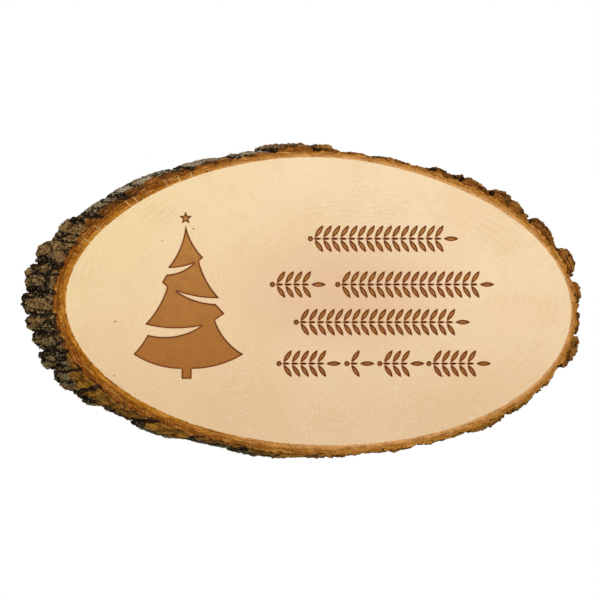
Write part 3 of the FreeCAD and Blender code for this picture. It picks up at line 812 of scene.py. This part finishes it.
def burnt_wood(build, z, pores, cloud):
    """The engraving's floor: paler at the top of the face, darkest along the foot of its walls,
    where a burnt line and painted shade lie together.
    """
    downwards = build.ramp(z, CENTRE[1] + 45 * MM, CENTRE[1] - 42 * MM, smooth=False)
    burnt = build.colour(downwards, shade(188, 130, 62), shade(170, 106, 42))
    burnt = build.colour(build.ramp(cloud, 0.35, 0.7, 0.0, 0.4), burnt, shade(150, 92, 44))
    burnt = build.colour(build.ramp(pores, 0.5, 0.75, 0.0, 0.45), burnt, shade(120, 70, 32))
    # Along the foot of each wall: partly a burnt line, partly painted shade where the wall shades
    # the floor.
    wall = build.closeness(WALL_SHADE_WIDTH)
    return build.colour(build.ramp(wall, 0.77, 0.95, 1.0, 0.0), burnt, shade(110, 46, 2))


def sanded_wood():
    """Pale sanded end grain, burnt where it is engraved and rough-sawn on the back."""
    material, build, place = new_material("sanded wood")
    x, y, z = build.split(place)
    reach, around, rings = growth_rings(build, place, x, z)
    pores = build.noise(build.vector("MULTIPLY", place, (1.0, 1.0, 1.6)), 2600.0, 2.0, 0.6)
    marks = fine_marks(build, place, reach, around)

    colour = face_tint(build, place, x, z, reach)
    colour = build.colour(rings, colour, shade(205, 165, 118))
    colour = build.colour(build.ramp(pores, 0.56, 0.78, 0.0, 0.4), colour, shade(196, 152, 100))
    colour = marked(build, place, colour, marks)
    colour = specked(build, place, colour)
    colour = scorched(build, x, z, colour)

    behind_face = build.plus(y, THICKNESS)
    floor_depth = ENGRAVING_DEPTH + FLOOR_SLACK
    sunk = build.math("GREATER_THAN", behind_face, FACE_SLACK)
    engraved = build.times(sunk, build.math("LESS_THAN", behind_face, floor_depth))
    burnt_cloud = build.noise(place, 220.0, 5.0, 0.7)
    colour = build.colour(engraved, colour, burnt_wood(build, z, pores, burnt_cloud))

    deeper = build.math("GREATER_THAN", behind_face, floor_depth)
    bands = build.noise(build.vector("MULTIPLY", place, (420.0, 0.0, 6.0)), 1.0, 2.0)
    rough_sawn = build.colour(bands, shade(234, 204, 158), shade(214, 178, 128))
    rough_sawn = build.colour(rings, rough_sawn, shade(176, 132, 84))
    colour = build.colour(deeper, colour, rough_sawn)

    height = build.plus(build.times(marks[-1], -0.5), build.times(pores, 0.5))
    height = build.plus(height, build.times(engraved, burnt_cloud, 1.5))
    height = build.plus(height, build.times(deeper, bands, 3.0))
    finish_material(build, colour, 0.62, height, 0.05 * MM, Specular_IOR_Level=0.2)
    return material


def trunk_places(build):
    """Where a point lies on the bark: its turn round the trunk, arc, depth and reach."""
    arc, depth, reach = build.split(build.attribute("trunk", "Vector"))
    return build.times(arc, FULL_TURN / GIRTH), arc, depth, reach


def fibres(build, arc, depth, reach):
    """Long fibres that run round the trunk."""
    stretched = build.join(
        build.times(arc, 110.0),
        build.times(depth, 700.0),
        build.times(reach, 1300.0),
    )
    return build.noise(stretched, 1.0, 4.0, 0.65)


def inner_bark_material():
    """Fibrous bast: golden next to the wood, redder and darker outwards, palest at the right, with
    painted shade at the cracks' roots and on its side under the scales.
    """
    material, build, place = new_material("inner bark")
    across = build.attribute("across")
    turn, arc, depth, reach = trunk_places(build)
    left = build.ramp(build.math("COSINE", turn), 0.2, -0.8)
    fibre = fibres(build, arc, depth, reach)
    cloud = build.noise(place, 300.0, 5.0, 0.7)
    crumb = build.noise(place, 900.0, 4.0, 0.7)

    ragged = build.plus(across, build.swing(cloud, 1.2))
    near = build.colour(left, shade(218, 160, 100), shade(182, 114, 20))
    far = build.colour(left, shade(160, 102, 34), shade(130, 70, 8))
    colour = build.colour(build.ramp(ragged, 0.1, 0.7), near, far)
    mottle = build.ramp(build.noise(place, 240.0, 4.0, 0.65), 0.48, 0.66, 0.0, 0.6)
    mottled = build.colour(left, shade(190, 132, 74), shade(118, 64, 10))
    colour = build.colour(mottle, colour, mottled)
    streak = build.plus(fibre, build.swing(crumb, 0.7))
    dark_streak = build.ramp(streak, 0.5, 0.68)
    dark_streak = build.times(dark_streak, build.ramp(left, 0.0, 1.0, 0.5, 0.8))
    colour = build.colour(dark_streak, colour, shade(98, 50, 8))
    colour = build.colour(build.ramp(streak, 0.5, 0.32, 0.0, 0.55), colour, shade(220, 162, 76))
    colour = build.colour(ray_marks(build, turn, arc, across), colour, shade(240, 208, 150))
    beside_wood = build.plus(across, build.times(build.noise(place, 420.0, 3.0), 0.3))
    colour = build.colour(build.ramp(beside_wood, 0.19, 0.13), colour, shade(240, 210, 164))

    tongue = build.swing(build.noise(place, 170.0, 4.0, 0.65), 1.6)
    weathered = build.times(build.ramp(build.plus(across, tongue), 0.92, 1.06), left)
    colour = build.colour(weathered, colour, shade(58, 36, 14))
    # Painted shade where the cracks between scales meet the ring, strongest at the left.
    crack = build.plus(build.attribute("crevice_shade"), build.minus(cloud, 0.5))
    crack = build.ramp(crack, 0.3, 0.55)
    crack = build.times(crack, build.ramp(left, 0.0, 1.0, 0.35, 0.92))
    colour = build.colour(crack, colour, shade(30, 16, 6))
    # Painted shade on the ring's side, where it lies under the scales, back from the sawn faces.
    shade_under_scales = build.ramp(build.attribute("fresh"), 1.0, 0.6)
    colour = build.colour(shade_under_scales, colour, shade(62, 38, 16))
    height = build.plus(fibre, build.times(cloud, 0.6))
    finish_material(build, colour, 0.8, height, 0.35 * MM, Specular_IOR_Level=0.1)
    return material


def ray_marks(build, turn, arc, across):
    """Short pale marks across the bast at the upper left, where the trunk's rays end."""
    from_middle = build.math("ABSOLUTE", build.minus(turn, RAY_MARKS))
    here = build.ramp(from_middle, RAY_MARKS_END, RAY_MARKS_FADE)
    waver = build.noise(build.join(arc, across, 0.0), 260.0, 2.0)
    leaning = build.plus(arc, build.times(across, 1.8 * MM))
    leaning = build.plus(leaning, build.times(waver, 3 * MM))
    feeds = {"W": leaning, "Scale": 420.0}
    settings = {"voronoi_dimensions": "1D"}
    mark = build.ramp(build.add("ShaderNodeTexVoronoi", feeds, "Distance", **settings), 0.09, 0.04)
    chance = build.split(build.add("ShaderNodeTexVoronoi", feeds, "Color", **settings))
    reach = build.ramp(chance[0], 0.2, 1.0, 0.1, 1.0)
    ends = build.ramp(build.minus(across, reach), 0.0, -0.12)
    strength = build.ramp(chance[1], 0.1, 0.7, 0.25, 0.9)
    return build.times(mark, ends, here, strength)


def weathered_bark(build, place, light, upwards):
    """Weathered bark: umber, silver-grey high up, olive low down, and stained in places. The light
    share picks the paler copy of each colour, partly painted light on raised plates.
    """
    low = build.ramp(upwards, 0.0, -0.45)
    high = build.ramp(upwards, 0.38, 0.62)
    umber = build.colour(light, shade(90, 60, 26), shade(154, 120, 74))
    silver = build.colour(light, shade(122, 104, 76), shade(186, 172, 144))
    olive = build.colour(light, shade(74, 64, 38), shade(124, 116, 84))
    grey = build.colour(low, build.colour(high, umber, silver), olive)
    stain = build.ramp(build.noise(place, 95.0, 3.0), 0.46, 0.62, 0.0, 0.55)
    return build.colour(stain, grey, shade(104, 66, 28))


def fresh_bark(build, fibre, upwards):
    """Freshly sawn or broken bark: fibrous, red-brown, and golden low down."""
    low = build.ramp(upwards, 0.0, -0.45)
    dark_fibre = build.ramp(fibre, 0.42, 0.6)
    reddish = build.colour(dark_fibre, shade(162, 98, 34), shade(96, 48, 6))
    golden = build.colour(dark_fibre, shade(180, 126, 42), shade(118, 74, 14))
    return build.colour(low, reddish, golden)


def outer_bark_material():
    """Bark in the colours it weathers to, red-brown or golden where it broke fresh, with painted
    shade in its cracks and crumbs and painted highlights on its crumbs and raised plates.
    """
    material, build, place = new_material("outer bark")
    turn, arc, depth, reach = trunk_places(build)
    left = build.ramp(build.math("COSINE", turn), 0.1, -0.35)
    upwards = build.math("SINE", turn)
    relief = build.attribute("relief")
    crumb = build.noise(place, 800.0, 4.0, 0.75)
    patch = build.noise(place, 230.0, 4.0, 0.65)
    fibre = fibres(build, arc, depth, reach)

    # How pale each colour is: patchy tone, and painted light on the raised plates.
    light = build.ramp(build.plus(patch, build.times(relief, 0.25)), 0.45, 0.78)
    brown = build.colour(build.ramp(fibre, 0.43, 0.56), shade(164, 108, 42), shade(86, 46, 8))
    weathered = build.colour(left, brown, weathered_bark(build, place, light, upwards))
    ragged = build.plus(build.attribute("fresh"), build.swing(patch, 1.1))
    sawn = fresh_bark(build, fibre, upwards)
    colour = build.colour(build.ramp(ragged, -0.06, 0.1), weathered, sawn)

    worn = build.ramp(ragged, 0.1, 0.0, 0.25, 1.0)
    worn = build.times(worn, build.ramp(left, 0.0, 1.0, 0.35, 1.0))
    shadowed = build.ramp(relief, 0.68, 0.36)
    shadowed = build.times(shadowed, build.ramp(worn, 0.1, 0.8, 0.45, 0.95))
    colour = build.colour(shadowed, colour, shade(18, 10, 3))
    # Painted shade near each scale's ends, in the cracks between scales.
    notch_shade = build.plus(build.attribute("crevice_shade"), build.swing(patch, 2.0))
    colour = build.colour(build.ramp(notch_shade, 0.4, 0.62, 0.0, 0.93), colour, shade(22, 12, 4))
    # Painted shade in the crumbs' hollows and painted highlights on their tops, where the bark is
    # worn.
    painted_crumb_shade = build.times(build.ramp(crumb, 0.5, 0.6, 0.0, 0.8), worn)
    painted_crumb_highlight = build.times(build.ramp(crumb, 0.45, 0.36, 0.0, 0.72), worn)
    colour = build.colour(painted_crumb_shade, colour, shade(30, 19, 8))
    colour = build.colour(painted_crumb_highlight, colour, shade(192, 170, 126))
    height = build.plus(crumb, build.times(fibre, 0.5))
    finish_material(build, colour, 0.9, height, 0.6 * MM, Specular_IOR_Level=0.08)
    return material


def zinc_steel(name, tint, grain):
    """Zinc plate: a dull, faintly clouded metal with fine lines along its grain."""
    material, build, place = new_material(name)
    cloud = build.noise(place, 350.0, 4.0, 0.6)
    lines = build.noise(build.vector("MULTIPLY", place, grain), 1.0, 3.0, 0.6)
    colour = build.colour(build.ramp(cloud, 0.35, 0.7, 0.0, 0.4), tint, shade(150, 152, 152))
    roughness = build.ramp(cloud, 0.3, 0.7, 0.32, 0.5)
    finish_material(build, colour, roughness, lines, 0.02 * MM, Metallic=1.0)
    return material


def floor_material():
    """Plain and pale. A glow that only the camera sees keeps it pale far from the lamps."""
    material, build, place = new_material("pale floor")
    pale = shade(236, 236, 234)
    cloud = build.noise(place, 3.0, 2.0)
    colour = build.colour(build.ramp(cloud, 0.3, 0.7, 0.0, 0.2), pale, shade(228, 228, 226))
    shader = finish_material(build, colour, 0.8, cloud, 0.1 * MM, Emission_Color=pale)
    seen = build.add("ShaderNodeLightPath", output="Is Camera Ray")
    build.tree.links.new(build.times(seen, FLOOR_GLOW), shader.inputs["Emission Strength"])
    return material


# --- the object ---------------------------------------------------------------------------

def repaint(node, material):
    """Gives a CAD node one material in all its slots."""
    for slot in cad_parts[node].material_slots:
        slot.material = material


def dress(piece, node):
    """The piece stands for its CAD node and rides on the plaque."""
    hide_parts(node)
    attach(piece, "root")


def make_bark():
    """The ring of inner bark and, on it, every scale of outer bark."""
    tree = rough_bark_tree()
    outer = outer_bark_material()
    names = [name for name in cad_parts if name.startswith(SCALE_PREFIX)]
    scales = sorted((Scale(name) for name in names), key=lambda scale: scale.first)
    # How far each crack's painted shade spreads on the ring.
    cracks = [
        (arc_at(scale.first), crack_shade_reach(number, scale.first)) for number, scale in enumerate(scales)
    ]
    ring = roughened("inner_bark_fibres", ring_sleeve(cracks), tree, inner_bark_material())
    dress(ring, "inner_bark")
    for number, scale in enumerate(scales):
        following = (number + 1) % len(scales)
        mesh = scale_sleeve(scale, number, following)
        front = THICKNESS - FRONT_GAP
        piece = roughened(scale.node + "_rough", mesh, tree, outer, Front=front)
        dress(piece, scale.node)


def make_hanger_finish():
    """Bright zinc on the plate and yellower zinc on its screws."""
    repaint("hanger_plate", zinc_steel("zinc plate", shade(196, 198, 198), (60.0, 60.0, 2500.0)))
    repaint("hanger_screws", zinc_steel("zinc screw", shade(206, 196, 160), (2500.0, 60.0, 2500.0)))


# --- floor, lights and camera -------------------------------------------------------------

VIEW_WIDTH = 321 * MM
VIEW_LEFT_OF_FACE = 9.9 * MM
VIEW_ABOVE_FACE = 1.5 * MM
LENS = 300.0
SENSOR = 36.0
FLOOR_DROP = 0.45  # it hangs on a wall, well above the floor
FLOOR_SIZE = 9.0
FLOOR_GLOW = 0.7
WORLD_LIGHT = 0.38  # how much of the world's full white falls on the object
# Each lamp's name, place, size and power
LAMPS = (
    ("key", (0.55, -0.75, 0.75), 0.4, 8.7),
    ("fill", (-0.9, -0.8, 0.35), 0.7, 4.9),
    ("back", (0.35, 0.9, 0.6), 0.6, 9.0),
)


def make_floor():
    """A wide flat floor below the plaque."""
    half = FLOOR_SIZE / 2
    level = cad_box[0][2] - FLOOR_DROP
    corners = [(x * half, y * half, level) for x, y in ((-1, -1), (1, -1), (1, 1), (-1, 1))]
    mesh = bpy.data.meshes.new("floor")
    mesh.from_pydata(corners, [], [(0, 1, 2, 3)])
    mesh.materials.append(floor_material())
    floor = bpy.data.objects.new("floor", mesh)
    bpy.context.scene.collection.objects.link(floor)


def make_lamp(name, place, size, power):
    """A square soft lamp that looks at the face's centre."""
    lamp = bpy.data.lights.new(name, "AREA")
    lamp.size = size
    lamp.energy = power
    holder = bpy.data.objects.new(name, lamp)
    holder.location = place
    look_at(holder, (FACE_CENTRE_X, -THICKNESS, CENTRE[1]))
    bpy.context.scene.collection.objects.link(holder)


def look_at(holder, target):
    """Turns a lamp's holder so that it shines at the target."""
    direction = Vector(target) - Vector(holder.location)
    holder.rotation_euler = direction.to_track_quat("-Z", "Y").to_euler()


def make_world():
    """White all round: full white behind the object, and a softer light on it."""
    world = bpy.data.worlds.new("studio")
    world.use_nodes = True
    tree = world.node_tree
    tree.nodes.clear()
    build = Builder(tree)
    seen = build.add("ShaderNodeLightPath", output="Is Camera Ray")
    strength = build.ramp(seen, 0.0, 1.0, WORLD_LIGHT, 1.0, smooth=False)
    background = build.add("ShaderNodeBackground", {"Color": (1, 1, 1, 1), "Strength": strength})
    out = tree.nodes.new("ShaderNodeOutputWorld")
    tree.links.new(background, out.inputs["Surface"])
    bpy.context.scene.world = world


def make_camera():
    """Straight in front, so far off that the face is seen nearly without perspective."""
    camera = bpy.data.cameras.new("camera")
    camera.lens = LENS
    camera.sensor_width = SENSOR
    holder = bpy.data.objects.new("camera", camera)
    distance = VIEW_WIDTH * LENS / SENSOR
    holder.location = (
        FACE_CENTRE_X - VIEW_LEFT_OF_FACE,
        -THICKNESS - distance,
        CENTRE[1] + VIEW_ABOVE_FACE,
    )
    holder.rotation_euler = (math.radians(90), 0, 0)
    bpy.context.scene.collection.objects.link(holder)
    bpy.context.scene.camera = holder


def make_studio():
    """Everything that the plaque is seen in and by."""
    make_world()
    make_floor()
    for lamp in LAMPS:
        make_lamp(*lamp)
    make_camera()
    bpy.context.scene.view_settings.view_transform = "Standard"


# --- all of it ----------------------------------------------------------------------------

repaint("wood_slice", sanded_wood())
make_hanger_finish()
make_bark()
make_studio()
